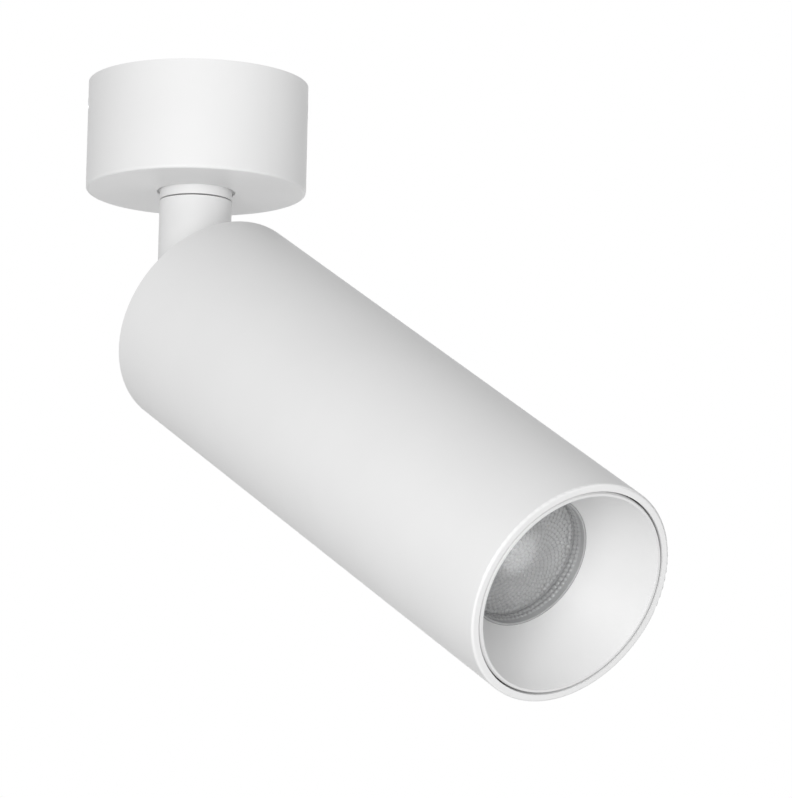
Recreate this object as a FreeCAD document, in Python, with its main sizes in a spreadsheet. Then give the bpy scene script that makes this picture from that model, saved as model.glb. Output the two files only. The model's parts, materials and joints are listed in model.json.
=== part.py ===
import FreeCAD, Part
import math
import os
import Sketcher
from FreeCAD import Placement, Rotation, Vector

# Surface mounted ceiling spotlight: a round canopy, a swivelling stem and a tilting tube.
# Frame: the origin is the centre of the ceiling face, +Z is up, and the tube points to +X.
# Pieces of the head are drawn hanging straight down from the pivot, then tilted to rest.

DRIVING = {
    # canopy
    "canopy_d": 60, "canopy_drop": 30, "canopy_wall": 1.8, "canopy_floor": 2.2,
    "canopy_edge": 0.8, "ring_width": 0.85, "ring_depth": 0.8,
    # ceiling plate
    "plate_thick": 1.5, "plate_gap": 0.3, "slot_spacing": 36, "slot_length": 8, "slot_width": 4.5,
    "cable_hole_d": 14, "ear_width": 10, "ear_drop": 12, "ear_turn": 50.2,
    "side_screw_d": 3, "side_head_d": 5.2, "side_head_thick": 0.9, "side_screw_drop": 7,
    "side_screw_tip": 1.5, "side_head_sink": 0.02,
    # terminal block
    "block_length": 24, "block_width": 9, "block_drop": 9, "block_offset": 8.5, "way_pitch": 8,
    "wire_hole_d": 3.4, "wire_place": 0.6, "block_slit": 1, "slit_depth": 0.5, "tap_depth": 0.4,
    "terminal_screw_d": 3, "terminal_screw_length": 3.6,
    # swivel
    "stem_d": 19.7, "collar_drop": 2.4, "swivel_gap": 0.4, "flange_d": 32, "flange_thick": 2,
    "collar_screw_d": 2.5, "collar_screw_ring": 27, "collar_screw_length": 3.4,
    "nipple_d": 10, "nipple_bore": 6.4, "nipple_depth": 7, "friction_d": 17.2,
    "friction_thick": 1.8, "stop_thick": 1, "stop_pin_d": 2, "stop_pin_ring": 20,
    "stop_pin_height": 4, "stop_pin_depth": 1.4, "swivel_spring_thick": 1.2,
    "swivel_nut_flats": 14, "swivel_nut_thick": 4, "stop_pin_gap": 0.6, "tab_reach": 0.4,
    "thread_end": 1,
    # knuckle
    "pivot_drop": 62.15, "knuckle_gap": 0.35, "lug_flat": 0.3, "lug_split": 1, "lead_bore": 4.4,
    "lead_offset": 3, "pivot_d": 8, "pivot_bore": 5.8, "pivot_head_d": 12.4,
    "pivot_head_thick": 1.2, "seat_d": 13.4, "stem_seat": 5.5, "head_seat": 4,
    "pivot_spring_thick": 0.7, "pivot_nut_flats": 11, "pivot_nut_thick": 2, "cap_thick": 0.8,
    # tube
    "tube_d": 60, "tube_length": 165, "tube_wall": 2, "tube_edge": 0.6, "tilt_rest": 58.1,
    "cap_plate": 4, "cap_skirt": 8, "skirt_wall": 2, "rear_screw_ring": 42,
    "rear_screw_d": 3, "rear_head_d": 5.8, "rear_head_thick": 1.7, "rear_screw_length": 10,
    # driver
    "tray_plate": 1.5, "tray_nose": 8, "tray_width": 42, "tray_post_d": 6.5,
    "case_start": 14, "case_length": 62, "case_width": 38, "case_height": 20, "case_wall": 1.6,
    "board_thick": 1.6, "board_rise": 3, "board_gap": 0.3, "foot_d": 3, "foot_inset": 3,
    "part_gap": 0.5, "tray_screw_d": 3, "tray_screw_length": 10,
    "tray_screw_ring": 18,
    # heat sink and light source
    "sink_length": 36, "sink_base": 3, "hub_d": 28, "fin_thick": 1.8,
    "fin_count": 16, "fin_gap": 0.5, "led_side": 20, "led_thick": 1.2, "emitter_d": 13,
    "emitter_thick": 0.8,
    "holder_d": 44, "holder_hole_d": 15, "holder_thick": 4, "holder_screw_d": 3,
    "holder_screw_ring": 33, "holder_screw_length": 8,
    # lens and baffle
    "lens_depth": 23, "lens_d": 40.8, "lens_flange": 2.4, "lens_view_d": 35.8, "lens_tip_d": 16,
    "lens_tip_wall": 2, "lens_hollow": 7, "lens_body_d": 35, "waist_out": 0.36, "waist_up": 0.4,
    "hollow_taper": 0.87, "ring_wall": 0.6, "ring_foot": 0.6, "lens_cup_d": 44, "cup_wall": 1.2,
    "cup_gap": 0.4, "seal_gap": 0.4, "lip_width": 1.2,
    "baffle_depth": 18.4, "baffle_wall": 1.6, "baffle_collar": 14, "seal_d": 1.8,
    "seal_place": 8,
    # fits
    "sliding_gap": 0.05, "running_gap": 0.04,
}


class Size:
    """A length kept twice: as a number, and as the formula that the sheet's cells give it."""

    def __init__(self, value, formula):
        self.value = float(value)
        self.formula = formula

    def __add__(self, other):
        return combine(self, "+", other)

    def __radd__(self, other):
        return combine(size_of(other), "+", self)

    def __sub__(self, other):
        return combine(self, "-", other)

    def __rsub__(self, other):
        return combine(size_of(other), "-", self)

    def __mul__(self, other):
        return combine(self, "*", other)

    def __rmul__(self, other):
        return combine(size_of(other), "*", self)

    def __truediv__(self, other):
        return combine(self, "/", other)

    def __neg__(self):
        return Size(-self.value, f"(0-{self.formula})")


def size_of(number):
    return number if isinstance(number, Size) else Size(number, repr(float(number)))


def combine(left, sign, right):
    right = size_of(right)
    value = {
        "+": lambda a, b: a + b, "-": lambda a, b: a - b,
        "*": lambda a, b: a * b, "/": lambda a, b: a / b,
    }[sign](left.value, right.value)
    return Size(value, f"({left.formula}{sign}{right.formula})")


def root_of(inside):
    return Size(math.sqrt(inside.value), f"sqrt({inside.formula})")


class Sheet:
    """The driving sizes, each read as an attribute."""

    def __init__(self, doc, cells):
        sheet = doc.addObject("Spreadsheet::Sheet", "Sizes")
        for row, (word, number) in enumerate(cells.items(), start=1):
            sheet.set(f"A{row}", word)
            sheet.set(f"B{row}", str(number))
            sheet.setAlias(f"B{row}", word)
            setattr(self, word, Size(number, f"Sizes.{word}"))


doc = FreeCAD.newDocument("Spotlight")
S = Sheet(doc, DRIVING)
doc.recompute()

FLAT, FRONT = "XY_Plane", "XZ_Plane"
ZERO = size_of(0)
FAR = 4 * S.tube_length           # longer than the whole object, for cuts that go right through
BITE = size_of(1)                 # how far a pad or a cut starts inside the edge it meets
HEAD_ACROSS = 1.8                 # a small screw's head, as shares of its shank's diameter
HEAD_TALL = 0.6
nodes = []


# ---------------------------------------------------------------- drawing helpers

def new_body(name):
    body = doc.addObject("PartDesign::Body", name)
    body.Label = name
    nodes.append(body)
    return body


def bind(item, path, size):
    item.setExpression(path, size_of(size).formula)


def new_sketch(body, name, role, lift=ZERO, turn=None):
    """A sketch on one of the body's planes, turned about an axis and lifted along its normal."""
    sketch = body.newObject("Sketcher::SketchObject", name)
    origin_plane = next(f for f in body.Origin.OriginFeatures if f.Role == role)
    sketch.AttachmentSupport = [(origin_plane, "")]
    sketch.MapMode = "FlatFace"
    axis, angle = turn if turn else (Vector(0, 0, 1), ZERO)
    lift = size_of(lift)
    sketch.AttachmentOffset = Placement(Vector(0, 0, lift.value), Rotation(axis, angle.value))
    bind(sketch, "AttachmentOffset.Base.z", lift)
    if turn:
        bind(sketch, "AttachmentOffset.Rotation.Angle", angle)
    if turn and axis.y:
        bind(sketch, "AttachmentOffset.Base.x", turned_part(lift, angle, "sin"))
        bind(sketch, "AttachmentOffset.Base.z", turned_part(lift, angle, "cos"))
    return sketch


def turned_part(size, angle, function):
    """A size times the sine or cosine of an angle in degrees."""
    factor = getattr(math, function)(math.radians(angle.value))
    return Size(size.value * factor, f"({size.formula}*{function}({angle.formula}*1deg))")


def hold_point(sketch, edge, end, x, y):
    """Tie one end of an edge to its place."""
    for kind, size in (("DistanceX", size_of(x)), ("DistanceY", size_of(y))):
        tie = sketch.addConstraint(Sketcher.Constraint(kind, -1, 1, edge, end, size.value))
        bind(sketch, f"Constraints[{tie}]", size)


def draw_outline(sketch, corners):
    """A closed outline. A corner is (x, y), or (x, y, radius, bend) where an arc leaves it."""
    first = sketch.GeometryCount
    ends = []
    for here, there in zip(corners, corners[1:] + corners[:1]):
        start = Vector(size_of(here[0]).value, size_of(here[1]).value, 0)
        stop = Vector(size_of(there[0]).value, size_of(there[1]).value, 0)
        if len(here) == 2:
            sketch.addGeometry(Part.LineSegment(start, stop), False)
            ends.append((1, 2))
        else:
            ends.append(draw_arc(sketch, start, stop, here[2], here[3]))
    for step, corner in enumerate(corners):
        after = (step + 1) % len(corners)
        link = ("Coincident", first + step, ends[step][1], first + after, ends[after][0])
        sketch.addConstraint(Sketcher.Constraint(*link))
        hold_point(sketch, first + step, ends[step][0], corner[0], corner[1])
        if len(corner) == 4 and corner[2] is None:
            hold_half_circle(sketch, first + step, corner, corners[after])
        elif len(corner) == 4:
            radius = size_of(corner[2])
            tie = sketch.addConstraint(Sketcher.Constraint("Radius", first + step, radius.value))
            bind(sketch, f"Constraints[{tie}]", radius)


def hold_half_circle(sketch, edge, start, stop):
    """Tie the centre of a half circle to the middle of its chord, which is upright."""
    middle = (size_of(start[0]) + stop[0]) / 2
    tie = sketch.addConstraint(Sketcher.Constraint("DistanceX", -1, 1, edge, 3, middle.value))
    bind(sketch, f"Constraints[{tie}]", middle)


def draw_arc(sketch, start, stop, radius, bend):
    """An arc from start to stop, turning left where bend is 1 and right where it is -1.
    With no radius it is a half circle."""
    chord = stop - start
    reach = chord.Length / 2 if radius is None else size_of(radius).value
    rise = math.sqrt(max(reach * reach - chord.Length ** 2 / 4, 0))
    across = Vector(-chord.y, chord.x, 0).normalize() * (rise * bend)
    centre = (start + stop) * 0.5 + across
    circle = Part.Circle(centre, Vector(0, 0, 1), reach)
    low, high = (start, stop) if bend > 0 else (stop, start)
    angles = [math.atan2(p.y - centre.y, p.x - centre.x) for p in (low, high)]
    sketch.addGeometry(Part.ArcOfCircle(circle, angles[0], angles[1]), False)
    return (1, 2) if bend > 0 else (2, 1)


def draw_circles(sketch, diameter, places):
    diameter = size_of(diameter)
    for x, y in places:
        centre = Vector(size_of(x).value, size_of(y).value, 0)
        edge = sketch.addGeometry(Part.Circle(centre, Vector(0, 0, 1), diameter.value / 2), False)
        tie = sketch.addConstraint(Sketcher.Constraint("Diameter", edge, diameter.value))
        bind(sketch, f"Constraints[{tie}]", diameter)
        hold_point(sketch, edge, 3, x, y)


def draw_box(sketch, x_low, x_high, y_low, y_high):
    draw_outline(sketch, [(x_low, y_low), (x_high, y_low), (x_high, y_high), (x_low, y_high)])


def draw_hexagon(sketch, flats):
    corner = flats / math.sqrt(3)
    turns = [math.radians(60 * step) for step in range(6)]
    draw_outline(sketch, [(corner * math.cos(a), corner * math.sin(a)) for a in turns])


def extrude(body, kind, sketch, length, reverse=False, both=False):
    feature = body.newObject(f"PartDesign::{kind}", f"{sketch.Name}_{kind}")
    feature.Profile = sketch
    feature.Reversed = reverse
    if both:
        feature.SideType = "Symmetric"
    feature.Length = size_of(length).value
    bind(feature, "Length", length)
    sketch.Visibility = False
    return feature


def pad(body, sketch, length, **options):
    return extrude(body, "Pad", sketch, length, **options)


def pocket(body, sketch, length, **options):
    return extrude(body, "Pocket", sketch, length, **options)


def spin(body, sketch):
    feature = body.newObject("PartDesign::Revolution", f"{sketch.Name}_turned")
    feature.Profile = sketch
    feature.ReferenceAxis = (sketch, ["V_Axis"])
    feature.Angle = 360
    return feature


def turned(name, corners):
    """A body made as one turned profile about its Z axis. Corners are (radius, height)."""
    body = new_body(name)
    sketch = new_sketch(body, f"{name}_profile", FRONT)
    draw_outline(sketch, corners)
    spin(body, sketch)
    return body


def repeat_round(body, feature, count):
    pattern = body.newObject("PartDesign::PolarPattern", f"{feature.Name}_round")
    pattern.Originals = [feature]
    z_axis = next(f for f in body.Origin.OriginFeatures if f.Role == "Z_Axis")
    pattern.Axis = (z_axis, [""])
    pattern.Angle = 360
    pattern.Occurrences = int(size_of(count).value)
    bind(pattern, "Occurrences", count)
    body.Tip = pattern
    return pattern


def ring_places(diameter, count, first=0.0):
    turns = [math.radians(first + 360 / count * step) for step in range(count)]
    return [(diameter / 2 * math.cos(a), diameter / 2 * math.sin(a)) for a in turns]


def drill(body, name, z, diameter, places, depth, up=False):
    """Round holes along Z, from height z down, or up where up is set."""
    sketch = new_sketch(body, name, FLAT, z)
    draw_circles(sketch, diameter, places)
    return pocket(body, sketch, depth, reverse=up)


def gather(name, pieces):
    """Several separate solids in one node."""
    group = doc.addObject("Part::Compound", name)
    group.Label = name
    group.Links = pieces
    for piece in pieces:
        if piece in nodes:
            nodes.remove(piece)
    nodes.append(group)
    return group


def turned_screw(name, head_d, head_thick, shank_d, length, head_z, point):
    """A screw along Z. Its head starts at head_z and its shank runs towards point, 1 or -1."""
    seat = head_z + point * head_thick
    corners = [
        (ZERO, head_z), (head_d / 2, head_z), (head_d / 2, seat),
        (shank_d / 2, seat), (shank_d / 2, head_z + point * length), (ZERO, head_z + point * length),
    ]
    return turned(name, corners)


def screw_ring(name, count, ring_d, first, **screw):
    """Equal screws on a pitch circle."""
    pieces = []
    for step, (x, y) in enumerate(ring_places(ring_d, count, first), start=1):
        piece = turned_screw(f"{name}_{step}", **screw)
        bind(piece, "Placement.Base.x", x)
        bind(piece, "Placement.Base.y", y)
        pieces.append(piece)
    return gather(name, pieces)


# ---------------------------------------------------------------- worked out sizes

canopy_r = S.canopy_d / 2
canopy_inner_r = canopy_r - S.canopy_wall
floor_top = -(S.canopy_drop - S.canopy_floor)
flange_top = floor_top + S.flange_thick
stem_r = S.stem_d / 2
collar_bottom = -(S.canopy_drop + S.collar_drop)
stem_top = collar_bottom - S.swivel_gap
lug_r = stem_r - S.lug_flat
shoulder = stem_r + S.knuckle_gap          # from the pivot to the stem's and the head's shoulder
tube_r = S.tube_d / 2
bore_r = tube_r - S.tube_wall
half_split = S.lug_split / 2
pivot_z = -S.pivot_drop


def along(distance):
    """Height of a point of the hanging head, given its distance from the tube's rear end."""
    return -(shoulder + distance)


front = S.tube_length
lens_front = front - S.lens_depth
sink_start = S.case_start + S.case_length + S.tray_nose
sink_end = sink_start + S.sink_length
lens_back = sink_end + S.holder_thick


# ---------------------------------------------------------------- canopy and ceiling plate

def make_mounting_plate():
    outer = canopy_inner_r - S.plate_gap
    body = turned("mounting_plate", [
        (S.cable_hole_d / 2, ZERO), (outer, ZERO),
        (outer, -S.plate_thick), (S.cable_hole_d / 2, -S.plate_thick),
    ])
    half = S.ear_width / 2
    face = root_of(outer * outer - half * half)
    about_z = (Vector(0, 0, 1), S.ear_turn)
    ears = new_sketch(body, "plate_ears", FLAT, ZERO, about_z)
    draw_box(ears, face - S.plate_thick, face, -half, half)
    draw_box(ears, -face, S.plate_thick - face, -half, half)
    pad(body, ears, S.ear_drop, reverse=True)
    tapped = new_sketch(body, "plate_taps", FRONT, ZERO, (Vector(0, 1, 0), S.ear_turn + 90))
    draw_circles(tapped, S.side_screw_d, [(ZERO, -S.side_screw_drop)])
    pocket(body, tapped, FAR, both=True)
    slots = new_sketch(body, "plate_slots", FLAT)
    reach = (S.slot_length - S.slot_width) / 2
    half_width = S.slot_width / 2
    for side in (-1, 1):
        middle = side * S.slot_spacing / 2
        draw_outline(slots, [
            (middle - reach, -half_width), (middle + reach, -half_width, None, 1),
            (middle + reach, half_width), (middle - reach, half_width, None, 1),
        ])
    pocket(body, slots, S.plate_thick)


def block_ways():
    return [step * S.way_pitch for step in (-1, 0, 1)]


def make_terminal_block():
    body = new_body("terminal_block")
    half = S.block_length / 2
    near = S.block_offset
    plan = new_sketch(body, "block_plan", FLAT, -S.plate_thick)
    draw_box(plan, -half, half, near, near + S.block_width)
    pad(body, plan, S.block_drop, reverse=True)
    wires = new_sketch(body, "block_wires", FRONT)
    middle = -(S.plate_thick + S.block_drop * S.wire_place)
    draw_circles(wires, S.wire_hole_d, [(x, middle) for x in block_ways()])
    pocket(body, wires, FAR, both=True)
    row = near + S.block_width / 2
    drill(body, "block_taps", -(S.plate_thick + S.block_drop), S.terminal_screw_d,
          [(x, row) for x in block_ways()], S.block_drop * S.tap_depth, up=True)
    walls = new_sketch(body, "block_gaps", FLAT, -(S.plate_thick + S.block_drop))
    half_slit = S.block_slit / 2
    for side in (-1, 1):
        x = side * S.way_pitch / 2
        draw_box(walls, x - half_slit, x + half_slit, near, near + S.block_width)
    pocket(body, walls, S.block_drop * S.slit_depth, reverse=True)


def make_terminal_screws():
    row = S.block_offset + S.block_width / 2
    bottom = -(S.plate_thick + S.block_drop)
    pieces = []
    for step, x in enumerate(block_ways(), start=1):
        piece = turned_screw(
            f"terminal_screw_{step}", S.terminal_screw_d - S.sliding_gap, S.terminal_screw_length / 3,
            S.terminal_screw_d * 0.7, S.terminal_screw_length, bottom, 1)
        bind(piece, "Placement.Base.x", x)
        bind(piece, "Placement.Base.y", row)
        pieces.append(piece)
    gather("terminal_screws", pieces)


def make_canopy():
    hole_r = stem_r + S.sliding_gap
    ring_r = stem_r + S.ring_width
    ring_top = -(S.canopy_drop - S.ring_depth)
    edge = S.canopy_edge
    body = turned("canopy", [
        (canopy_inner_r, ZERO), (canopy_inner_r, floor_top), (hole_r, floor_top),
        (hole_r, ring_top), (ring_r, ring_top), (ring_r, -S.canopy_drop),
        (canopy_r - edge, -S.canopy_drop, edge, 1), (canopy_r, edge - S.canopy_drop),
        (canopy_r, ZERO),
    ])
    turn = (Vector(0, 1, 0), S.ear_turn + 90)
    through = new_sketch(body, "canopy_side_holes", FRONT, ZERO, turn)
    draw_circles(through, S.side_screw_d + 2 * S.sliding_gap, [(ZERO, -S.side_screw_drop)])
    pocket(body, through, FAR, both=True)
    seat_depth = S.side_head_thick + S.sliding_gap
    for name, side in (("near", 1), ("away", -1)):
        seat = new_sketch(body, f"canopy_seat_{name}", FRONT, side * canopy_r, turn)
        draw_circles(seat, S.side_head_d + 2 * S.sliding_gap, [(ZERO, -S.side_screw_drop)])
        pocket(body, seat, 2 * seat_depth, both=True)
    drill(body, "canopy_pilots", floor_top, S.collar_screw_d,
          ring_places(S.collar_screw_ring, 3), S.collar_screw_length - S.flange_thick)


def make_canopy_screws():
    """Two flat-headed screws, one from each side, into the ears of the ceiling plate."""
    length = S.canopy_wall + S.plate_gap + S.plate_thick + S.side_screw_tip
    pieces = []
    for step, side in enumerate((1, -1), start=1):
        piece = turned_screw(f"canopy_screw_{step}", S.side_head_d, S.side_head_thick,
                             S.side_screw_d, length, ZERO, -1)
        angle = S.ear_turn.value + (0 if side == 1 else 180)
        lie = Rotation(Vector(0, 0, 1), angle) * Rotation(Vector(0, 1, 0), 90)
        reach = canopy_r - S.side_head_sink
        across = [math.cos(math.radians(angle)), math.sin(math.radians(angle))]
        piece.Placement = Placement(Vector(0, 0, 0), lie)
        bind(piece, "Placement.Base.x", reach * across[0])
        bind(piece, "Placement.Base.y", reach * across[1])
        bind(piece, "Placement.Base.z", -S.side_screw_drop)
        pieces.append(piece)
    gather("canopy_screws", pieces)


# ---------------------------------------------------------------- swivel

def make_swivel_collar():
    recess_top = stem_top + S.friction_thick
    body = turned("swivel_collar", [
        (S.nipple_d / 2 + S.running_gap, flange_top), (S.flange_d / 2, flange_top),
        (S.flange_d / 2, floor_top), (stem_r, floor_top), (stem_r, collar_bottom),
        (S.friction_d / 2 + S.sliding_gap, collar_bottom),
        (S.friction_d / 2 + S.sliding_gap, recess_top),
        (S.nipple_d / 2 + S.running_gap, recess_top),
    ])
    drill(body, "collar_holes", flange_top, S.collar_screw_d + 2 * S.sliding_gap,
          ring_places(S.collar_screw_ring, 3), S.flange_thick)
    drill(body, "collar_pin_hole", flange_top, S.stop_pin_d, [(-S.stop_pin_ring / 2, ZERO)],
          S.stop_pin_depth)


def make_collar_screws():
    head = S.collar_screw_d * HEAD_TALL
    screw_ring("collar_screws", 3, S.collar_screw_ring, 0.0, head_d=S.collar_screw_d * HEAD_ACROSS,
               head_thick=head, shank_d=S.collar_screw_d,
               length=S.collar_screw_length + head - 2 * S.sliding_gap,
               head_z=flange_top + head, point=-1)


def make_pan_stop_pin():
    r = S.stop_pin_d / 2
    low = flange_top - S.stop_pin_depth
    pin = turned("pan_stop_pin", [
        (ZERO, low), (r, low), (r, flange_top + S.stop_pin_height),
        (ZERO, flange_top + S.stop_pin_height),
    ])
    bind(pin, "Placement.Base.x", -S.stop_pin_ring / 2)


def make_washer(name, inner_r, outer_r, low, high):
    return turned(name, [(inner_r, low), (outer_r, low), (outer_r, high), (inner_r, high)])


nipple_clear_r = S.nipple_d / 2 + S.running_gap
stop_top = flange_top + S.stop_thick
swivel_spring_top = stop_top + S.swivel_spring_thick
swivel_nut_top = swivel_spring_top + S.swivel_nut_thick
swivel_disc_r = (S.stop_pin_ring - S.stop_pin_d) / 2 - S.stop_pin_gap


def make_swivel_stack():
    """Washers and nut that draw the stem up against the collar."""
    make_washer("friction_washer", nipple_clear_r, S.friction_d / 2,
                stem_top, stem_top + S.friction_thick)
    stop = make_washer("stop_washer", nipple_clear_r, swivel_disc_r, flange_top, stop_top)
    tab = new_sketch(stop, "stop_tab", FLAT, flange_top)
    half = S.stop_pin_d / 2
    draw_box(tab, S.nipple_d / 2 + BITE, S.stop_pin_ring / 2 + S.stop_pin_d * S.tab_reach,
             -half, half)
    pad(stop, tab, S.stop_thick)
    spring = make_washer("swivel_spring_washer", nipple_clear_r, swivel_disc_r,
                         stop_top, swivel_spring_top)
    split = new_sketch(spring, "swivel_spring_split", FLAT, stop_top)
    draw_box(split, S.nipple_d / 2 - BITE, S.stop_pin_ring, ZERO, S.swivel_spring_thick)
    pocket(spring, split, S.swivel_spring_thick, reverse=True)
    nut = new_body("swivel_nut")
    plan = new_sketch(nut, "swivel_nut_plan", FLAT, swivel_spring_top)
    draw_hexagon(plan, S.swivel_nut_flats)
    draw_circles(plan, S.nipple_d, [(ZERO, ZERO)])
    pad(nut, plan, S.swivel_nut_thick)
    top = swivel_nut_top + S.thread_end
    bottom = stem_top - S.nipple_depth
    make_washer("swivel_nipple", S.nipple_bore / 2, S.nipple_d / 2, bottom, top)


# ---------------------------------------------------------------- knuckle

def cut_lug(body, name, pivot_height, side):
    """Cut a round post down to a half lug about the pivot. The stem's lug lies below its post
    and towards -Y (side -1), the head's lies above its post and towards +Y (side 1)."""
    middle = pivot_height
    post_face = middle - side * shoulder
    beyond = middle + side * 2 * shoulder
    half_cut = new_sketch(body, f"{name}_half", FRONT, -side * half_split)
    draw_box(half_cut, -2 * stem_r, 2 * stem_r, post_face, beyond)
    pocket(body, half_cut, 4 * stem_r, reverse=(side > 0))
    tip = middle + side * lug_r
    round_cut = new_sketch(body, f"{name}_round", FRONT)
    draw_outline(round_cut, [
        (lug_r, post_face), (lug_r, middle, lug_r, side), (ZERO, tip), (ZERO, beyond),
        (2 * stem_r, beyond), (2 * stem_r, post_face),
    ])
    pocket(body, round_cut, 4 * stem_r, both=True)
    eye = new_sketch(body, f"{name}_eye", FRONT)
    play = S.running_gap if side > 0 else ZERO
    draw_circles(eye, S.pivot_d + 2 * play, [(ZERO, middle)])
    pocket(body, eye, 4 * stem_r, both=True)
    seat_place = S.head_seat if side > 0 else S.stem_seat
    seat = new_sketch(body, f"{name}_seat", FRONT, -side * seat_place)
    draw_circles(seat, S.seat_d, [(ZERO, middle)])
    pocket(body, seat, 2 * stem_r, reverse=(side < 0))


def make_stem():
    body = new_body("stem")
    post = new_sketch(body, "stem_post", FLAT, stem_top)
    draw_circles(post, S.stem_d, [(ZERO, ZERO)])
    pad(body, post, stem_top - pivot_z + stem_r, reverse=True)
    cut_lug(body, "stem_lug", pivot_z, -1)
    drill(body, "stem_socket", stem_top, S.nipple_d, [(ZERO, ZERO)], S.nipple_depth)
    drill(body, "stem_bore", stem_top - S.nipple_depth, S.nipple_bore, [(ZERO, ZERO)],
          S.nipple_depth / 2)
    drill(body, "stem_leads", stem_top - S.nipple_depth, S.lead_bore, [(ZERO, -S.lead_offset)],
          stem_top - S.nipple_depth - pivot_z)


def across_pivot(name, corners):
    """A turned piece whose axis is the pivot. Corners are (radius, distance along +Y)."""
    body = turned(name, corners)
    body.Placement = Placement(Vector(0, 0, pivot_z.value), Rotation(Vector(1, 0, 0), -90))
    bind(body, "Placement.Base.z", pivot_z)
    return body


pivot_head_out = S.stem_seat + S.pivot_head_thick
pivot_spring_out = S.head_seat + S.pivot_spring_thick
pivot_nut_out = pivot_spring_out + S.pivot_nut_thick


def make_pivot():
    """The hollow pivot that the leads run through, with its washers and nut."""
    bore, outer, head = S.pivot_bore / 2, S.pivot_d / 2, S.pivot_head_d / 2
    clear = outer + S.running_gap
    washer_r = stem_r - S.knuckle_gap
    across_pivot("pivot_washer", [
        (clear, -half_split), (washer_r, -half_split), (washer_r, half_split), (clear, half_split),
    ])
    tube = across_pivot("pivot_tube", [
        (bore, -pivot_head_out), (head, -pivot_head_out), (head, -S.stem_seat),
        (outer, -S.stem_seat), (outer, pivot_nut_out), (bore, pivot_nut_out),
    ])
    window = S.lead_bore - S.running_gap
    for name, place in (("leads_in", -S.lead_offset), ("leads_out", S.lead_offset)):
        opening = new_sketch(tube, f"pivot_{name}", FRONT)
        draw_circles(opening, window / 2, [(ZERO, place)])
        pocket(tube, opening, 2 * S.pivot_d, both=True)
    across_pivot("pivot_spring_washer", [
        (clear, S.head_seat), (head, S.head_seat), (head, pivot_spring_out),
        (clear, pivot_spring_out),
    ])
    nut = new_body("pivot_nut")
    plan = new_sketch(nut, "pivot_nut_plan", FLAT, pivot_spring_out)
    draw_hexagon(plan, S.pivot_nut_flats)
    draw_circles(plan, S.pivot_d, [(ZERO, ZERO)])
    pad(nut, plan, S.pivot_nut_thick)
    nut.Placement = Placement(Vector(0, 0, pivot_z.value), Rotation(Vector(1, 0, 0), -90))
    bind(nut, "Placement.Base.z", pivot_z)
    cap_r = S.seat_d / 2 - S.sliding_gap
    across_pivot("stem_cap", [
        (ZERO, -pivot_head_out), (cap_r, -pivot_head_out),
        (cap_r, -(pivot_head_out + S.cap_thick)), (ZERO, -(pivot_head_out + S.cap_thick)),
    ])


# ---------------------------------------------------------------- head, drawn hanging

head_nodes = []


def in_head(body):
    head_nodes.append(body)
    return body


def make_barrel_tube():
    edge = S.tube_edge
    start, stop = along(ZERO), along(front)
    in_head(turned("barrel_tube", [
        (bore_r, start), (tube_r - edge / 2, start), (tube_r, start - edge / 2),
        (tube_r, stop + edge, edge, -1), (tube_r - edge, stop), (bore_r, stop),
    ]))


skirt_r = bore_r - S.sliding_gap


def make_rear_cap():
    """The plate that closes the tube, with a skirt inside it and the head's half lug on it."""
    body = new_body("rear_cap")
    lug = new_sketch(body, "cap_post", FLAT, along(ZERO))
    draw_circles(lug, S.stem_d, [(ZERO, ZERO)])
    pad(body, lug, shoulder + stem_r)
    cut_lug(body, "head_lug", ZERO, 1)
    plate = new_sketch(body, "cap_profile", FRONT)
    inside = skirt_r - S.skirt_wall
    draw_outline(plate, [
        (ZERO, along(ZERO)), (skirt_r, along(ZERO)), (skirt_r, along(S.cap_plate + S.cap_skirt)),
        (inside, along(S.cap_plate + S.cap_skirt)), (inside, along(S.cap_plate)),
        (ZERO, along(S.cap_plate)),
    ])
    spin(body, plate)
    drill(body, "cap_leads", along(S.cap_plate), S.lead_bore, [(ZERO, S.lead_offset)],
          shoulder + S.cap_plate, up=True)
    places = ring_places(S.rear_screw_ring, 3, 90.0)
    drill(body, "cap_holes", along(ZERO), S.rear_screw_d + 2 * S.sliding_gap, places, S.cap_plate)
    drill(body, "cap_seats", along(ZERO), S.rear_head_d + 2 * S.sliding_gap, places,
          S.rear_head_thick)
    in_head(body)
    cap_r = S.seat_d / 2 - S.sliding_gap
    cap = turned("head_cap", [
        (ZERO, pivot_nut_out), (cap_r, pivot_nut_out), (cap_r, pivot_nut_out + S.cap_thick),
        (ZERO, pivot_nut_out + S.cap_thick),
    ])
    cap.Placement = Placement(Vector(0, 0, 0), Rotation(Vector(1, 0, 0), -90))
    in_head(cap)


def make_rear_cap_screws():
    in_head(screw_ring("rear_cap_screws", 3, S.rear_screw_ring, 90.0, head_d=S.rear_head_d,
                       head_thick=S.rear_head_thick, shank_d=S.rear_screw_d,
                       length=S.rear_screw_length, head_z=along(ZERO), point=-1))


case_end = S.case_start + S.case_length
tray_end = case_end + S.tray_nose
tray_r = skirt_r - S.skirt_wall - S.sliding_gap
tray_y = -(S.case_height / 2 + S.tray_plate)     # the tray's outer face, under the driver case


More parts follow.
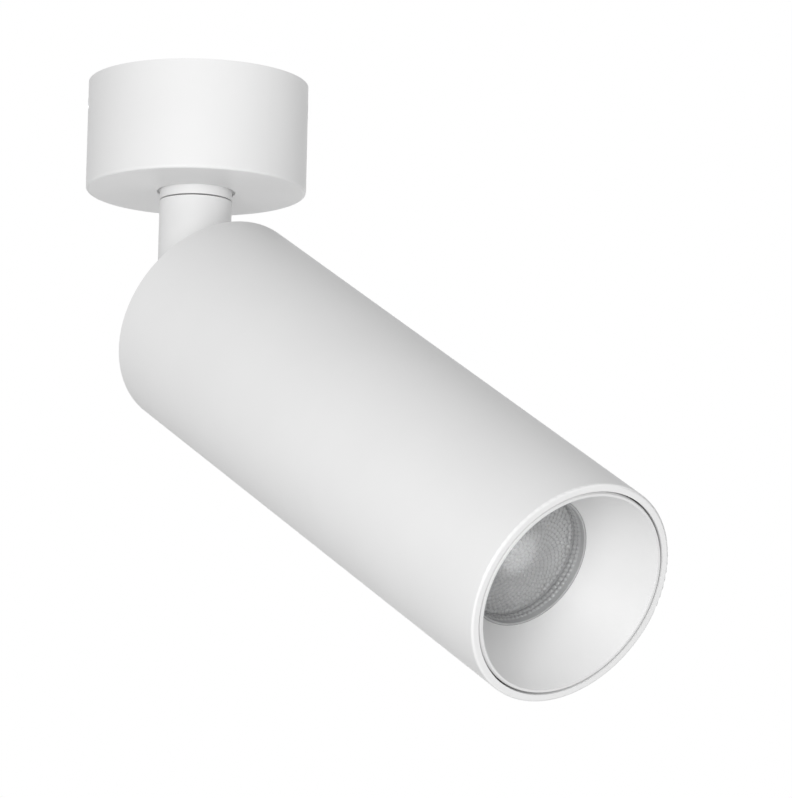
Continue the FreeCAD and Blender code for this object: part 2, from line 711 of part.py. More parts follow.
def make_driver_tray():
    """A flat tray with a round plate at each end and three posts for the rear screws."""
    body = new_body("driver_tray")
    front_plate = new_sketch(body, "tray_front", FLAT, along(tray_end))
    draw_circles(front_plate, 2 * tray_r, [(ZERO, ZERO)])
    pad(body, front_plate, S.tray_plate)
    floor = new_sketch(body, "tray_floor", FLAT, along(tray_end))
    half = S.tray_width / 2
    draw_box(floor, -half, half, tray_y, tray_y + S.tray_plate)
    pad(body, floor, tray_end - S.cap_plate)
    rear_plate = new_sketch(body, "tray_rear", FLAT, along(S.cap_plate))
    draw_circles(rear_plate, 2 * tray_r, [(ZERO, ZERO)])
    draw_circles(rear_plate, S.hub_d / 2, [(ZERO, ZERO)])
    pad(body, rear_plate, S.tray_plate, reverse=True)
    places = ring_places(S.rear_screw_ring, 3, 90.0)
    posts = new_sketch(body, "tray_posts", FLAT, along(S.cap_plate))
    draw_circles(posts, S.tray_post_d, places)
    pad(body, posts, S.rear_screw_length - S.cap_plate + S.thread_end, reverse=True)
    drill(body, "tray_taps", along(S.cap_plate), S.rear_screw_d, places,
          S.rear_screw_length - S.cap_plate)
    drill(body, "tray_front_holes", along(tray_end - S.tray_plate),
          S.tray_screw_d + 2 * S.sliding_gap, ring_places(S.tray_screw_ring, 2), S.tray_plate)
    drill(body, "tray_wire_hole", along(tray_end - S.tray_plate), S.hub_d / 5,
          [(ZERO, ZERO)], S.tray_plate)
    in_head(body)


case_floor = tray_y + S.tray_plate


def case_block(body, name, inset, low, high):
    """A box along the case. Its walls are inset, and it runs from low to high across the tray."""
    half = S.case_width / 2 - inset
    sketch = new_sketch(body, name, FLAT, along(case_end - inset))
    draw_box(sketch, -half, half, low, high)
    return sketch, S.case_length - 2 * inset


def make_driver_case():
    body = new_body("driver_case")
    top = case_floor + S.case_height - S.case_wall
    shell, length = case_block(body, "case_shell", ZERO, case_floor, top)
    pad(body, shell, length)
    inside, room = case_block(body, "case_room", S.case_wall, case_floor + S.case_wall, top)
    pocket(body, inside, room, reverse=True)
    slot = new_sketch(body, "case_wire_slots", FLAT, along(case_end))
    slot_half = S.hub_d / 8
    draw_box(slot, -slot_half, slot_half, top - 2 * slot_half, top)
    pocket(body, slot, S.case_length, reverse=True)
    in_head(body)

    lid = new_body("driver_lid")
    plate, length = case_block(lid, "lid_plate", ZERO, top, top + S.case_wall)
    pad(lid, plate, length)
    rim = S.case_wall + S.sliding_gap
    step, room = case_block(lid, "lid_step", rim, top - S.case_wall / 2, top)
    pad(lid, step, room)
    in_head(lid)


board_low = case_floor + S.case_wall + S.board_rise
board_inset = S.case_wall + S.board_gap


def make_driver_board():
    body = new_body("driver_board")
    plan, length = case_block(body, "board_plan", board_inset, board_low,
                              board_low + S.board_thick)
    pad(body, plan, length)
    feet = new_sketch(body, "board_feet", FRONT, -board_low)
    half = S.case_width / 2 - board_inset - S.foot_inset
    ends = board_inset + S.foot_inset
    near, away = case_end - ends, S.case_start + ends
    draw_circles(feet, S.foot_d, [(x, along(z)) for x in (-half, half) for z in (near, away)])
    pad(body, feet, S.board_rise)
    in_head(body)


def make_driver_parts():
    """Transformer, capacitors, choke and connectors that stand on the board.
    Places and plan sizes are shares of the case's width and length."""
    face = board_low + S.board_thick
    room = case_floor + S.case_height - 2 * S.case_wall - face - S.part_gap
    middle = S.case_start + S.case_length / 2
    wide, long_side = S.case_width, S.case_length
    pieces = []
    for name, x, place, width, length, tall in (
            ("transformer", 0.1, 0.03, 0.4, 0.22, 1.0), ("bridge", -0.29, -0.26, 0.16, 0.1, 0.35),
            ("input_terminal", 0, -0.385, 0.36, 0.1, 0.75),
            ("output_terminal", 0, 0.4, 0.26, 0.08, 0.75)):
        body = new_body(name)
        sketch = new_sketch(body, f"{name}_plan", FRONT, -face)
        low = along(middle + (place + length / 2) * long_side)
        draw_box(sketch, (x - width / 2) * wide, (x + width / 2) * wide,
                 low, low + length * long_side)
        pad(body, sketch, room * tall, reverse=True)
        pieces.append(body)
    for name, x, place, across, tall in (
            ("input_capacitor", 0.24, -0.22, 0.21, 0.98),
            ("output_capacitor", -0.24, 0.21, 0.21, 0.9),
            ("small_capacitor", 0.18, 0.26, 0.13, 0.7), ("choke", -0.26, -0.05, 0.24, 0.65)):
        body = new_body(name)
        sketch = new_sketch(body, f"{name}_plan", FRONT, -face)
        draw_circles(sketch, across * wide, [(x * wide, along(middle + place * long_side))])
        pad(body, sketch, room * tall, reverse=True)
        pieces.append(body)
    in_head(gather("driver_parts", pieces))


def make_heat_sink():
    """A hub with straight radial fins that stop just inside the tube, and a base for the LED."""
    body = turned("heat_sink", [
        (ZERO, along(sink_start)), (S.hub_d / 2, along(sink_start)),
        (S.hub_d / 2, along(sink_end - S.sink_base)), (skirt_r, along(sink_end - S.sink_base)),
        (skirt_r, along(sink_end)), (ZERO, along(sink_end)),
    ])
    fin = new_sketch(body, "sink_fin", FLAT, along(sink_end - S.sink_base))
    half = S.fin_thick / 2
    draw_box(fin, S.hub_d / 2 - BITE, skirt_r - S.fin_gap, -half, half)
    repeat_round(body, pad(body, fin, S.sink_length - S.sink_base), S.fin_count)
    drill(body, "sink_wire_hole", along(sink_start), S.hub_d / 5, [(ZERO, ZERO)],
          S.sink_length)
    drill(body, "sink_rear_taps", along(sink_start), S.tray_screw_d,
          ring_places(S.tray_screw_ring, 2), S.tray_screw_length)
    drill(body, "sink_front_taps", along(sink_end), S.holder_screw_d,
          ring_places(S.holder_screw_ring, 2, 45.0), S.holder_screw_length, up=True)
    in_head(body)


def make_tray_screws():
    head = S.tray_screw_d * HEAD_TALL
    in_head(screw_ring("tray_screws", 2, S.tray_screw_ring, 0.0, head_d=S.tray_screw_d * HEAD_ACROSS,
                       head_thick=head, shank_d=S.tray_screw_d, length=S.tray_screw_length,
                       head_z=along(tray_end - S.tray_plate) + head, point=-1))


def make_light_source():
    """The LED board with its emitter, and the holder that clamps it."""
    board = new_body("led_board")
    plan = new_sketch(board, "led_plan", FLAT, along(sink_end))
    half = S.led_side / 2
    draw_box(plan, -half, half, -half, half)
    pad(board, plan, S.led_thick, reverse=True)
    in_head(board)
    top = sink_end + S.led_thick
    r = S.emitter_d / 2
    in_head(turned("led_emitter", [
        (ZERO, along(top)), (r, along(top)), (r, along(top + S.emitter_thick)),
        (ZERO, along(top + S.emitter_thick)),
    ]))
    holder = turned("led_holder", [
        (S.holder_hole_d / 2, along(sink_end)), (S.holder_d / 2, along(sink_end)),
        (S.holder_d / 2, along(lens_back)), (S.holder_hole_d / 2, along(lens_back)),
    ])
    room = new_sketch(holder, "holder_room", FLAT, along(sink_end))
    reach = half + S.sliding_gap
    draw_box(room, -reach, reach, -reach, reach)
    pocket(holder, room, S.led_thick)
    places = ring_places(S.holder_screw_ring, 2, 45.0)
    drill(holder, "holder_holes", along(sink_end), S.holder_screw_d + 2 * S.sliding_gap, places,
          S.holder_thick)
    drill(holder, "holder_seats", along(lens_back), S.holder_screw_d * 1.9, places,
          S.holder_thick / 2, up=True)
    in_head(holder)
    in_head(screw_ring("led_holder_screws", 2, S.holder_screw_ring, 45.0,
                       head_d=S.holder_screw_d * HEAD_ACROSS, head_thick=S.holder_thick * 0.4,
                       shank_d=S.holder_screw_d, length=S.holder_screw_length,
                       head_z=along(lens_back - S.holder_thick / 2 + S.holder_thick * 0.4),
                       point=1))


def make_lens():
    """A collimating lens: a flared body behind a flat flange, with a hollow over the emitter."""
    flange_back = lens_front - S.lens_flange
    tip = lens_back + S.seal_gap
    hollow_r = S.lens_tip_d / 2 - S.lens_tip_wall
    waist_r = S.lens_tip_d / 2 + (S.lens_body_d - S.lens_tip_d) * S.waist_out
    waist = flange_back - (flange_back - tip) * S.waist_up
    in_head(turned("lens", [
        (ZERO, along(lens_front)), (S.lens_d / 2, along(lens_front)),
        (S.lens_d / 2, along(flange_back)), (S.lens_body_d / 2, along(flange_back)),
        (waist_r, along(waist)), (S.lens_tip_d / 2, along(tip)), (hollow_r, along(tip)),
        (hollow_r * S.hollow_taper, along(tip + S.lens_hollow)),
        (ZERO, along(tip + S.lens_hollow + S.lens_tip_wall / 2)),
    ]))
    cup_r = S.lens_cup_d / 2
    inner_r = S.lens_d / 2 + S.sliding_gap
    step_r = S.lens_body_d / 2 + S.cup_gap
    in_head(turned("lens_holder", [
        (inner_r, along(lens_front)), (cup_r, along(lens_front)), (cup_r, along(lens_back)),
        (cup_r - S.cup_wall * 1.5, along(lens_back)), (step_r, along(flange_back)),
        (inner_r, along(flange_back)),
    ]))


view_r = S.lens_view_d / 2 + S.sliding_gap       # the opening at the baffle's back
foot_r = view_r + S.baffle_wall / 2
cone_back = front - S.baffle_depth


def make_lens_ring():
    """A clear ring round the lens's front. The baffle holds it by its foot."""
    outer_r = S.lens_view_d / 2
    foot_front = lens_front + S.ring_foot
    in_head(turned("lens_ring", [
        (outer_r - S.ring_wall, along(lens_front)), (foot_r - S.sliding_gap, along(lens_front)),
        (foot_r - S.sliding_gap, along(foot_front)), (outer_r, along(foot_front)),
        (outer_r, along(cone_back)), (outer_r - S.ring_wall, along(cone_back)),
    ]))


lip_r = bore_r - S.seal_gap
groove_r = bore_r - S.sliding_gap - S.seal_d


def make_baffle():
    """The deep white cone in front of the lens, with a rounded lip and a seal round it."""
    back = lens_front
    foot_front = back + S.ring_foot
    collar_back = front - S.baffle_collar
    mouth_r = lip_r - S.lip_width
    seal_place = front - S.seal_place
    half_seal = S.seal_d / 2
    wall = S.baffle_wall
    half_lip = S.lip_width / 2
    rim_r = S.lens_cup_d / 2
    in_head(turned("baffle_cone", [
        (foot_r, along(back)), (foot_r, along(foot_front)), (view_r, along(foot_front)),
        (view_r, along(cone_back)), (mouth_r, along(front - half_lip)),
        (mouth_r + half_lip / 2, along(front)), (lip_r - half_lip / 2, along(front)),
        (lip_r, along(front - half_lip)),
        (lip_r, along(seal_place + half_seal)), (groove_r, along(seal_place + half_seal)),
        (groove_r, along(seal_place - half_seal)), (lip_r, along(seal_place - half_seal)),
        (lip_r, along(collar_back)), (lip_r - wall, along(collar_back)),
        (view_r + wall, along(cone_back - S.cup_gap)), (view_r + wall, along(back + wall)),
        (rim_r, along(back + wall)), (rim_r, along(back)),
    ]))
    seal_r = groove_r + S.seal_d
    half_seal = half_seal - S.sliding_gap
    bevel = S.seal_d / 4
    in_head(turned("baffle_seal", [
        (groove_r, along(seal_place + half_seal)), (seal_r - bevel, along(seal_place + half_seal)),
        (seal_r, along(seal_place + half_seal - bevel)),
        (seal_r, along(seal_place - half_seal + bevel)),
        (seal_r - bevel, along(seal_place - half_seal)), (groove_r, along(seal_place - half_seal)),
    ]))


def tilt_head():
    """Swing every piece of the head about the pivot to its rest angle."""
    lean = Rotation(Vector(0, -1, 0), S.tilt_rest.value)
    for piece in head_nodes:
        lie = lean * piece.Placement.Rotation
        piece.Placement = Placement(Vector(0, 0, pivot_z.value), lie)
        bind(piece, "Placement.Base.z", pivot_z)
        if piece.Label != "head_cap":
            bind(piece, "Placement.Rotation.Angle", S.tilt_rest)


# ---------------------------------------------------------------- build, check and write

make_mounting_plate()
make_terminal_block()
make_terminal_screws()
make_canopy()
make_canopy_screws()
make_swivel_collar()
make_collar_screws()
make_pan_stop_pin()
make_swivel_stack()
make_stem()
make_pivot()
make_barrel_tube()
make_rear_cap()
make_rear_cap_screws()
make_driver_tray()
make_driver_case()
make_driver_board()
make_driver_parts()
make_heat_sink()
make_tray_screws()
make_light_source()
make_lens()
make_lens_ring()
make_baffle()
tilt_head()
doc.recompute()

for item in doc.Objects:
    if "Invalid" in item.State or "Error" in item.State:
        raise RuntimeError(f"{item.Name} failed: {item.State}")
for node in nodes:
    if node.Shape.isNull() or not node.Shape.isValid():
        raise RuntimeError(f"{node.Label} has no valid shape")

os.makedirs("parts", exist_ok=True)
for node in nodes:
    node.Shape.exportStep(os.path.join("parts", f"{node.Label}.step"))
    print(f"{node.Label}: {len(node.Shape.Solids)} solid(s), {node.Shape.Volume:.1f} mm3")
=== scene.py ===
import json
import math

import bmesh
import bpy
import numpy as np
from mathutils import Matrix, Vector


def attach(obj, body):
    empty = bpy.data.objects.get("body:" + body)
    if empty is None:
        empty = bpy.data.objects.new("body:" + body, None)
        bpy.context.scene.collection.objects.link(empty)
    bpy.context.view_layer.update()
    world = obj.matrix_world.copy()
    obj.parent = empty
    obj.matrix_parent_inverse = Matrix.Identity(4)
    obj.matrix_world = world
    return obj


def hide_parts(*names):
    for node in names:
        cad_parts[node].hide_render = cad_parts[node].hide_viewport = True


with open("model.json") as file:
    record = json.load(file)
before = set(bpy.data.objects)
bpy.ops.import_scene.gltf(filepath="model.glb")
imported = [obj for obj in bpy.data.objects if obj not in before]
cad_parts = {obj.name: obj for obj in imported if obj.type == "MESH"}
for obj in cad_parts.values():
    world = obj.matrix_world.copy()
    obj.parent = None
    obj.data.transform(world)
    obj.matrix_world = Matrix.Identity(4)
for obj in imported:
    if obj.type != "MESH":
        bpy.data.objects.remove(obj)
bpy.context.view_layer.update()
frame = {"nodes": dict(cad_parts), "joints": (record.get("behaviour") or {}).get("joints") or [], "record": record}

# Lengths are in metres and angles in degrees unless a name says otherwise.
MM = 0.001

# Camera: where the photograph was taken from, measured from the centre of the ceiling face.
CAMERA_DISTANCE = 1.3967
CAMERA_SIDE = 50.21          # turned about the vertical, from the side view along +Y
CAMERA_BELOW = 13.98         # under the ceiling face's level
AIM_RIGHT = 2.35
AIM_UP = 10.51
CAMERA_ROLL = 1.09
LENS_MM = 229.7
SENSOR_MM = 36.0

FLOOR_Z = -2.4                   # the ceiling is 2.4 m over the floor
FLOOR_HALF = 9.0


# ------------------------------------------------------------------ materials

DRIFT_SCALE = 45.0               # slow change of tone over a surface
GLOSS_SPREAD = 0.05
GRAIN_DEPTH = 0.03 * MM
FAINT_DEPTH = 0.02 * MM          # of brushed lines, and of the lens's unevenness
LINE_SCALE = 160.0
LINE_SQUEEZE = 24.0              # how much closer the lines lie along Z than across it
CLOUD_SCALE = 120.0
RAMP_START = 0.35
RAMP_END = 0.65


def new_material(name):
    material = bpy.data.materials.new(name)
    material.use_nodes = True
    return material, material.node_tree.nodes, material.node_tree.links


def shader_of(nodes):
    return nodes["Principled BSDF"]


def set_shader(nodes, **values):
    shader = shader_of(nodes)
    for name, value in values.items():
        shader.inputs[name.replace("_", " ")].default_value = value
    return shader


def object_noise(nodes, links, scale, detail=3.0):
    """Noise fixed to the object, so that it has a real scale in metres."""
    place = nodes.new("ShaderNodeTexCoord")
    noise = nodes.new("ShaderNodeTexNoise")
    noise.inputs["Scale"].default_value = scale
    noise.inputs["Detail"].default_value = detail
    links.new(place.outputs["Object"], noise.inputs["Vector"])
    return noise


def add_ramp(nodes, links, source, low, high):
    """A blend between two colours over the middle of a noise's range."""
    ramp = nodes.new("ShaderNodeValToRGB")
    ramp.color_ramp.elements[0].position = RAMP_START
    ramp.color_ramp.elements[1].position = RAMP_END
    ramp.color_ramp.elements[0].color = (*low, 1)
    ramp.color_ramp.elements[1].color = (*high, 1)
    links.new(source, ramp.inputs["Fac"])
    return ramp.outputs["Color"]


def add_bump(nodes, links, source, strength, distance):
    bump = nodes.new("ShaderNodeBump")
    bump.inputs["Strength"].default_value = strength
    bump.inputs["Distance"].default_value = distance
    links.new(source, bump.inputs["Height"])
    links.new(bump.outputs["Normal"], shader_of(nodes).inputs["Normal"])


def shade(colour, factor):
    return tuple(min(1.0, channel * factor) for channel in colour)


def grained(name, colour, roughness, grain=2200.0, bump=0.08, spread=0.02):
    """A surface with a fine grain, a slight drift of tone and slightly uneven gloss."""
    material, nodes, links = new_material(name)
    set_shader(nodes, Metallic=0.0, Roughness=roughness)
    drift = object_noise(nodes, links, DRIFT_SCALE)
    tone = add_ramp(nodes, links, drift.outputs["Fac"], shade(colour, 1 - spread),
                    shade(colour, 1 + spread))
    links.new(tone, shader_of(nodes).inputs["Base Color"])
    fine = object_noise(nodes, links, grain, detail=2.0)
    gloss = nodes.new("ShaderNodeMapRange")
    gloss.inputs["To Min"].default_value = roughness - GLOSS_SPREAD
    gloss.inputs["To Max"].default_value = roughness + GLOSS_SPREAD
    links.new(fine.outputs["Fac"], gloss.inputs["Value"])
    links.new(gloss.outputs["Result"], shader_of(nodes).inputs["Roughness"])
    add_bump(nodes, links, fine.outputs["Fac"], bump, GRAIN_DEPTH)
    return material


def powder_coat(name, colour):
    """Fine matt powder coat, with a pimple of about half a millimetre."""
    material = grained(name, colour, 0.52, grain=1900.0, bump=0.10, spread=0.008)
    shader_of(material.node_tree.nodes).inputs["Specular IOR Level"].default_value = 0.45
    return material


def brushed(name, colour, roughness):
    """Metal with fine lines, as on turned and plated parts."""
    material, nodes, links = new_material(name)
    set_shader(nodes, Metallic=1.0, Roughness=roughness)
    place = nodes.new("ShaderNodeTexCoord")
    squeeze = nodes.new("ShaderNodeMapping")
    squeeze.inputs["Scale"].default_value = (1.0, 1.0, LINE_SQUEEZE)
    links.new(place.outputs["Object"], squeeze.inputs["Vector"])
    lines = nodes.new("ShaderNodeTexNoise")
    lines.inputs["Scale"].default_value = LINE_SCALE
    lines.inputs["Detail"].default_value = 4.0
    links.new(squeeze.outputs["Vector"], lines.inputs["Vector"])
    tone = add_ramp(nodes, links, lines.outputs["Fac"], shade(colour, 0.88), shade(colour, 1.08))
    links.new(tone, shader_of(nodes).inputs["Base Color"])
    add_bump(nodes, links, lines.outputs["Fac"], 0.12, FAINT_DEPTH)
    return material


def clear_plastic(name, colour, roughness, transmission):
    """Moulded optical plastic with a faint unevenness."""
    material, nodes, links = new_material(name)
    set_shader(nodes, Roughness=roughness, IOR=1.49, Transmission_Weight=transmission)
    cloud = object_noise(nodes, links, CLOUD_SCALE)
    tone = add_ramp(nodes, links, cloud.outputs["Fac"], shade(colour, 0.96), shade(colour, 1.04))
    links.new(tone, shader_of(nodes).inputs["Base Color"])
    add_bump(nodes, links, cloud.outputs["Fac"], 0.04, FAINT_DEPTH)
    return material


def make_materials():
    """One material for each material slot of the record."""
    return {
        "housing_white": powder_coat("white_powder_coat", (0.80, 0.80, 0.80)),
        "baffle_white": grained("white_moulding", (0.73, 0.73, 0.73), 0.48, grain=2600.0, bump=0.05,
                                spread=0.008),
        "lens_clear": clear_plastic("clear_lens", (0.70, 0.705, 0.71), 0.06, 0.45),
        "plated_steel": brushed("plated_steel", (0.60, 0.61, 0.62), 0.34),
        "bare_aluminium": brushed("bare_aluminium", (0.74, 0.75, 0.76), 0.38),
        "terminal_plastic": grained("terminal_moulding", (0.80, 0.78, 0.70), 0.45),
        "terminal_brass": brushed("terminal_brass", (0.78, 0.60, 0.28), 0.30),
        "washer_nylon": grained("black_nylon", (0.03, 0.03, 0.03), 0.55),
        "case_plastic": grained("case_moulding", (0.78, 0.78, 0.76), 0.45),
        "circuit_board": grained("solder_mask", (0.02, 0.16, 0.06), 0.35, grain=900.0),
        "component_grey": grained("component_body", (0.05, 0.05, 0.06), 0.40),
        "emitter_yellow": grained("phosphor", (0.85, 0.68, 0.12), 0.40),
        "seal_rubber": grained("black_rubber", (0.02, 0.02, 0.02), 0.70),
    }


def dress_nodes(materials):
    for row in frame["record"]["subparts"]:
        node = frame["nodes"][row["node"]]
        node.data.materials.clear()
        node.data.materials.append(materials[row["material_slot"]])


# ------------------------------------------------------------------ where the head is

def joint_named(name):
    return next(joint for joint in frame["joints"] if joint["name"] == name)


tilt = joint_named("tilt")
pivot = Vector(tilt["pos_m"])
lean = math.radians(-tilt["range_deg"][0])      # the low limit is the head hanging straight down
head_axis = Vector((math.sin(lean), 0, -math.cos(lean)))
head_side = Vector((0, 1, 0))
head_up = head_axis.cross(head_side)

FRONT_END = 0.05 * MM            # vertices this near a node's front belong to its front end


def reach_of(node_name):
    """A node's near and far end along the head's axis from the pivot, its largest radius about
    that axis, and the radius of its front end."""
    spots = [vertex.co - pivot for vertex in frame["nodes"][node_name].data.vertices]
    along = [spot.dot(head_axis) for spot in spots]
    out = [(spot - head_axis * spot.dot(head_axis)).length for spot in spots]
    front_r = max(r for r, place in zip(out, along) if place > max(along) - FRONT_END)
    return min(along), max(along), max(out), front_r


# ------------------------------------------------------------------ lens

BEAD_RISE = 0.46 * MM            # height of a bead over the valley beside it
BEAD_STEP = 0.66 * MM            # sunflower constant: beads lie about 1.8 times this apart
BEADED_R = 15.9 * MM
FRONT_R = 17.2 * MM
EDGE_BEADS_R = 16.7 * MM
EDGE_BEAD_COUNT = 84
EDGE_BEAD_R = 0.62 * MM
RINGS = 150
SPOKES = 560
BEAD_R = BEAD_STEP * 1.02        # beads just overlap their neighbours
CENTRE_R = 0.15 * MM             # the small flat at the middle of the front
EDGE_BAND = 0.05 * MM            # the plain band round the front's edge
BEAD_BATCHES = 40                # the points are measured in this many parts, to save memory
LENS_TIP_R = 8.0 * MM
LENS_BODY_R = 17.5 * MM
LENS_FLANGE = 2.4 * MM
FLARE_STEPS = 12
FLARE_POWER = 0.75               # how full the body is between its tip and its flange
HOLLOW_R = 6.0 * MM              # the hollow over the emitter: its mouth, its end and its depth
HOLLOW_END_R = 5.2 * MM
HOLLOW_DEPTH = 7.0 * MM
HOLLOW_DOME = 1.0 * MM
HOLLOW_TOP_R = 0.2 * MM
RING_WALL = 0.6 * MM
RING_FOOT = 0.6 * MM
RING_ROWS = (0.9 * MM, 2.3 * MM)  # heights of the two rows of beads on the ring's inner wall
RING_ROW_RISE = 0.40 * MM
RING_STEPS = 30


def sunflower():
    """Bead centres in a sunflower spiral, and the ring of beads near the edge."""
    golden = math.pi * (3 - math.sqrt(5))
    count = int((BEADED_R / BEAD_STEP) ** 2)
    steps = np.arange(count) + 0.5
    radius = BEAD_STEP * np.sqrt(steps)
    turn = golden * np.arange(count)
    spiral = np.stack([radius * np.cos(turn), radius * np.sin(turn)], axis=1)
    around = np.arange(EDGE_BEAD_COUNT) * 2 * math.pi / EDGE_BEAD_COUNT
    edge = EDGE_BEADS_R * np.stack([np.cos(around), np.sin(around)], axis=1)
    return spiral, edge


def bead_height(points):
    """Height of the lens front over its valleys, as round-topped beads."""
    spiral, edge = sunflower()
    height = np.zeros(len(points))
    for centres, bead_r in ((spiral, BEAD_R), (edge, EDGE_BEAD_R)):
        for part in np.array_split(np.arange(len(points)), BEAD_BATCHES):
            gaps = np.linalg.norm(points[part, None, :] - centres[None, :, :], axis=2).min(axis=1)
            dome = np.clip(1 - (gaps / bead_r) ** 2, 0, None)
            height[part] = np.maximum(height[part], BEAD_RISE * np.sqrt(dome))
    return height


def lens_profile(low, high, edge_r):
    """The lens outside its beaded front, as (radius, distance along the axis)."""
    back = high - LENS_FLANGE
    outline = [(edge_r, high), (edge_r, back), (LENS_BODY_R, back)]
    for step in range(1, FLARE_STEPS + 1):
        share = step / FLARE_STEPS
        radius = LENS_TIP_R + (LENS_BODY_R - LENS_TIP_R) * (1 - share) ** FLARE_POWER
        outline.append((radius, back + (low - back) * share))
    hollow_end = low + HOLLOW_DEPTH
    hollow = [(HOLLOW_R, low), (HOLLOW_END_R, hollow_end), (HOLLOW_TOP_R, hollow_end + HOLLOW_DOME)]
    return outline + hollow


def even_turns():
    """The angles of the spokes, in radians."""
    return np.arange(SPOKES) * 2 * math.pi / SPOKES


def plain_ring(radius, distance):
    """A round ring of points at a distance along the head's axis."""
    return [(radius * math.cos(turn), radius * math.sin(turn), distance)
            for turn in even_turns()]


def lens_front(high):
    """Rings of points from the middle of the beaded front out to its edge."""
    radii = np.linspace(CENTRE_R, FRONT_R, RINGS)
    turns = even_turns()
    flat = np.stack([np.outer(radii, np.cos(turns)).ravel(),
                     np.outer(radii, np.sin(turns)).ravel()], axis=1)
    depth = high - BEAD_RISE + bead_height(flat)
    depth[radii.repeat(SPOKES) > FRONT_R - EDGE_BAND] = high
    points = np.column_stack([flat, depth]).reshape(RINGS, SPOKES, 3)
    return points.tolist()


def ring_wall(low, high, inner_r):
    """The lens ring's inner wall, with its rows of beads, from its back to its front."""
    rings = []
    pitch = 2 * math.pi / EDGE_BEAD_COUNT
    for height in np.linspace(0, high - low, RING_STEPS + 1):
        ring = []
        for turn in even_turns():
            dome = 0.0
            for row, row_height in enumerate(RING_ROWS):
                shift = (turn + row * pitch / 2) % pitch - pitch / 2
                gap = math.hypot(shift * inner_r, height - row_height) / EDGE_BEAD_R
                dome = max(dome, 1 - gap * gap)
            radius = inner_r - RING_ROW_RISE * math.sqrt(dome)
            ring.append((radius * math.cos(turn), radius * math.sin(turn), low + height))
        rings.append(ring)
    return rings


def bridge(mesh, inner, outer):
    """Faces between two rings of vertices."""
    for step in range(SPOKES):
        after = (step + 1) % SPOKES
        mesh.faces.new((inner[step], inner[after], outer[after], outer[step]))


def join_rings(rings):
    """A mesh whose faces join each ring of points to the next. Also returns its rings."""
    mesh = bmesh.new()
    placed = []
    for ring in rings:
        placed.append([mesh.verts.new(pivot + head_side * x + head_up * y + head_axis * d)
                       for x, y, d in ring])
    for inner, outer in zip(placed, placed[1:]):
        bridge(mesh, inner, outer)
    return mesh, placed


def finish_piece(mesh, name, body, slot, materials, replaced):
    """Turn a bmesh into a smooth-shaded piece that rides on a body."""
    data = bpy.data.meshes.new(name)
    mesh.to_mesh(data)
    mesh.free()
    for face in data.polygons:
        face.use_smooth = True
    piece = bpy.data.objects.new(name, data)
    bpy.context.scene.collection.objects.link(piece)
    data.materials.append(materials[slot])
    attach(piece, body)
    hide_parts(replaced)


def make_lens(materials):
    """A clear lens: beads in a sunflower spiral on its front, and a flared body behind."""
    low, high, edge_r, _ = reach_of("lens")
    rings = lens_front(high)
    rings += [plain_ring(radius, distance) for radius, distance in lens_profile(low, high, edge_r)]
    mesh, placed = join_rings(rings)
    mesh.faces.new(placed[0][::-1])
    mesh.faces.new(placed[-1])
    bmesh.ops.recalc_face_normals(mesh, faces=mesh.faces)
    finish_piece(mesh, "beaded_lens", "head", "lens_clear", materials, "lens")


def make_lens_ring(materials):
    """The clear ring in front of the lens, with two rows of beads round its inner wall."""
    low, high, foot_r, outer_r = reach_of("lens_ring")
    rings = ring_wall(low, high, outer_r - RING_WALL)
    foot = low + RING_FOOT
    for radius, distance in ((outer_r, high), (outer_r, foot), (foot_r, foot), (foot_r, low)):
        rings.append(plain_ring(radius, distance))
    mesh, placed = join_rings(rings)
    bridge(mesh, placed[-1], placed[0])
    bmesh.ops.recalc_face_normals(mesh, faces=mesh.faces)
    finish_piece(mesh, "beaded_ring", "head", "lens_clear", materials, "lens_ring")


# ------------------------------------------------------------------ camera, light and floor

def camera_directions():
    """The camera's right, up and forward, and the side turn that they hold."""
    aim, rise, roll = (math.radians(a) for a in (AIM_RIGHT, AIM_UP, CAMERA_ROLL))
    level = math.cos(rise)
    forward = Vector((math.sin(aim) * level, math.cos(aim) * level, math.sin(rise)))
    right = Vector((math.cos(aim), -math.sin(aim), 0))
    up = right.cross(forward)
    rolled_right = right * math.cos(roll) + up * math.sin(roll)
    rolled_up = up * math.cos(roll) - right * math.sin(roll)
    turn = Matrix.Rotation(math.radians(CAMERA_SIDE), 3, "Z")
    return turn @ rolled_right, turn @ rolled_up, turn @ forward, turn


def add_camera():
    right, up, forward, turn = camera_directions()
    below = math.radians(CAMERA_BELOW)
    place = turn @ Vector((0, -math.cos(below), -math.sin(below))) * CAMERA_DISTANCE
    data = bpy.data.cameras.new("camera")
    data.sensor_width = SENSOR_MM
    data.lens = LENS_MM
    camera = bpy.data.objects.new("camera", data)
    columns = Matrix((right, up, -forward)).transposed()
    camera.matrix_world = Matrix.Translation(place) @ columns.to_4x4()
    bpy.context.scene.collection.objects.link(camera)
    bpy.context.scene.camera = camera


LIT_CENTRE = Vector((0.05, 0, -0.09))

# Round lamps: name, place seen from the photograph's side (right, up, towards it), width, power.
LAMPS = (
    ("key", (-0.27, 0.0, 1.25), 0.7, 9.5),
    ("fill", (0.80, -0.60, 1.00), 0.8, 3.6),
    ("under", (-0.2, -1.1, 0.9), 0.8, 1.6),
    ("back", (0.25, -0.35, -1.4), 0.9, 3.0),
)
GLINT_DISTANCE = 0.035           # the narrow lamp that brightens the middle of the lens
GLINT_ANGLE = 25
GLINT_POWER = 0.028
GLINT_RADIUS = 0.001
AMBIENT = 0.485                  # the even light on the object
BACKDROP = 1.0                   # the white that shows behind it and in its reflections


def view_place(right_way, up_way, toward):
    """A place given by its distances from the lit centre."""
    right, _, forward, _ = camera_directions()
    return LIT_CENTRE + right * right_way + Vector((0, 0, 1)) * up_way - forward * toward


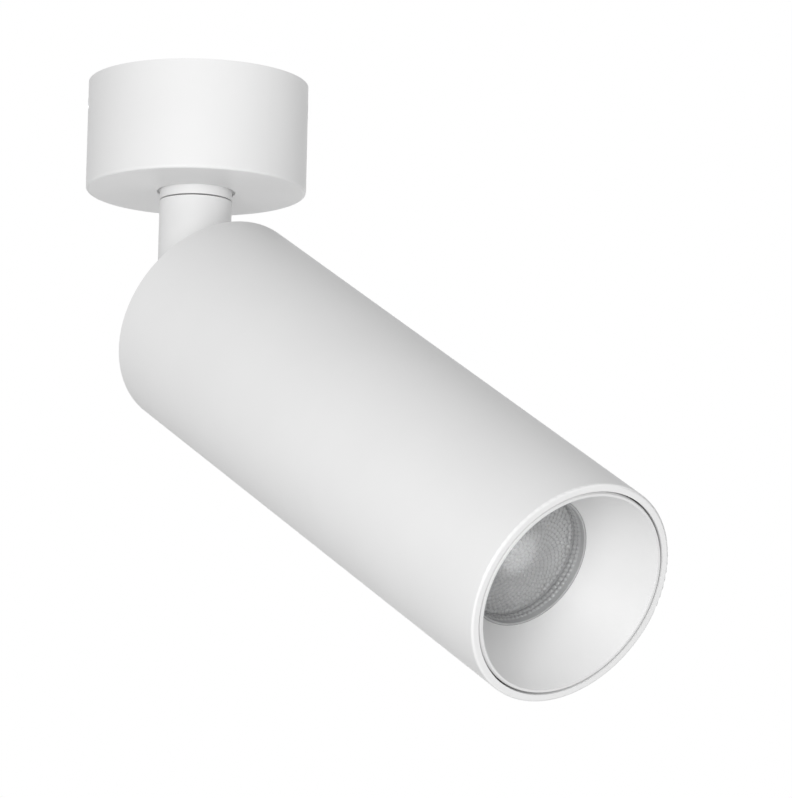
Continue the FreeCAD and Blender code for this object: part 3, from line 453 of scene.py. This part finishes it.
def add_area(name, place, size, power):
    data = bpy.data.lights.new(name, "AREA")
    data.shape = "DISK"
    data.size = size
    data.energy = power
    lamp = bpy.data.objects.new(name, data)
    aim = LIT_CENTRE - place
    turn = aim.to_track_quat("-Z", "Y").to_matrix().to_4x4()
    lamp.matrix_world = Matrix.Translation(place) @ turn
    lamp.visible_camera = False
    bpy.context.scene.collection.objects.link(lamp)


def add_spot(name, centre, direction, distance, angle, power):
    """A narrow soft-edged light on one place, from a direction."""
    data = bpy.data.lights.new(name, "SPOT")
    data.spot_size = math.radians(angle)
    data.spot_blend = 1.0
    data.shadow_soft_size = GLINT_RADIUS
    data.energy = power
    lamp = bpy.data.objects.new(name, data)
    turn = (-direction).to_track_quat("-Z", "Y").to_matrix().to_4x4()
    lamp.matrix_world = Matrix.Translation(centre + direction * distance) @ turn
    bpy.context.scene.collection.objects.link(lamp)


def add_lights():
    lens_middle = pivot + head_axis * reach_of("lens")[1]
    add_spot("lens_glint", lens_middle, head_axis, GLINT_DISTANCE, GLINT_ANGLE, GLINT_POWER)
    for name, place, size, power in LAMPS:
        add_area(name, view_place(*place), size, power)


def add_world():
    """White behind the object, and a softer even light on it."""
    world = bpy.data.worlds.new("studio")
    bpy.context.scene.world = world
    world.use_nodes = True
    nodes, links = world.node_tree.nodes, world.node_tree.links
    nodes.clear()
    rays = nodes.new("ShaderNodeLightPath")
    seen = rays.outputs["Is Camera Ray"]
    for kind in ("Is Transmission Ray", "Is Glossy Ray"):
        either = nodes.new("ShaderNodeMath")
        either.operation = "MAXIMUM"
        links.new(seen, either.inputs[0])
        links.new(rays.outputs[kind], either.inputs[1])
        seen = either.outputs[0]
    strength = nodes.new("ShaderNodeMapRange")
    strength.inputs["To Min"].default_value = AMBIENT
    strength.inputs["To Max"].default_value = BACKDROP
    links.new(seen, strength.inputs["Value"])
    background = nodes.new("ShaderNodeBackground")
    background.inputs["Color"].default_value = (1, 1, 1, 1)
    links.new(strength.outputs["Result"], background.inputs["Strength"])
    output = nodes.new("ShaderNodeOutputWorld")
    links.new(background.outputs["Background"], output.inputs["Surface"])


def add_floor():
    """A plain pale floor, far enough below to leave room for the whole fitting."""
    mesh = bmesh.new()
    bmesh.ops.create_grid(mesh, x_segments=1, y_segments=1, size=FLOOR_HALF)
    data = bpy.data.meshes.new("floor")
    mesh.to_mesh(data)
    mesh.free()
    floor = bpy.data.objects.new("floor", data)
    floor.location = (0, 0, FLOOR_Z)
    bpy.context.scene.collection.objects.link(floor)
    data.materials.append(grained("pale_floor", (0.92, 0.92, 0.92), 0.8, grain=60.0, spread=0.01))


materials = make_materials()
dress_nodes(materials)
make_lens(materials)
make_lens_ring(materials)
add_camera()
add_world()
add_lights()
add_floor()
bpy.context.scene.view_settings.view_transform = "Standard"
